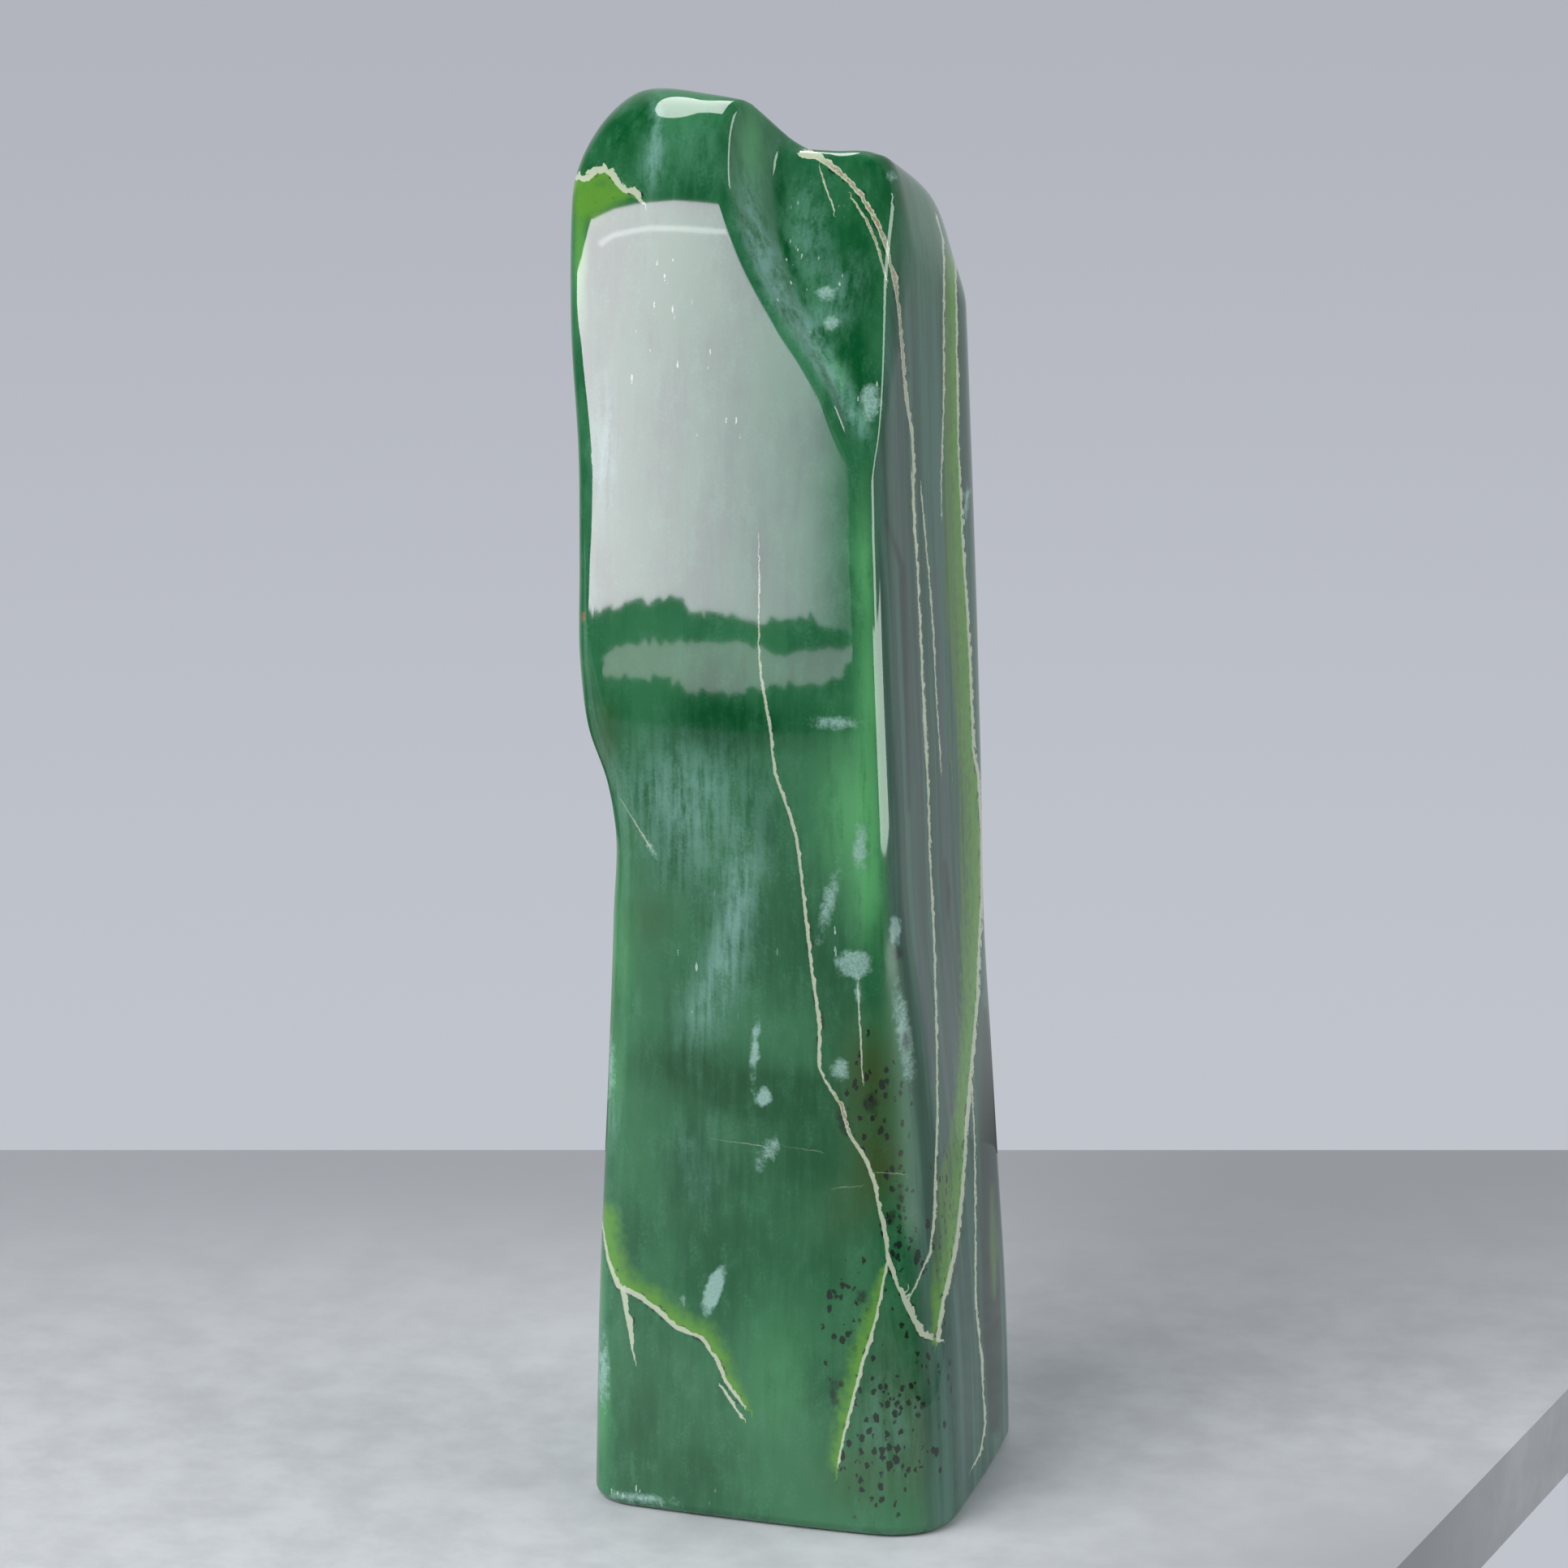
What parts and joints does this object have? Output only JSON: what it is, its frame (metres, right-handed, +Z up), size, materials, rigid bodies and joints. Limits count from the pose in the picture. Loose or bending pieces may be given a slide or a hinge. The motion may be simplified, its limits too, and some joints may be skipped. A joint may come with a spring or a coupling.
{
  "type": "polished jade freeform",
  "caption": "Tall free-standing polished nephrite stone with soft ground faces, a stepped notch at its top and a flat sawn base.",
  "frame": {"origin": "middle of the footprint, on the flat base", "axes": "+Z up along the stone's length, -Y towards the viewer of the broad front face, +X to that viewer's right"},
  "size_m": [0.08, 0.0708, 0.2787],
  "materials": {
    "jade": "polished"
  },
  "bodies": {
    "root": {"jade_stone": "jade"}
  },
  "joints": []
}
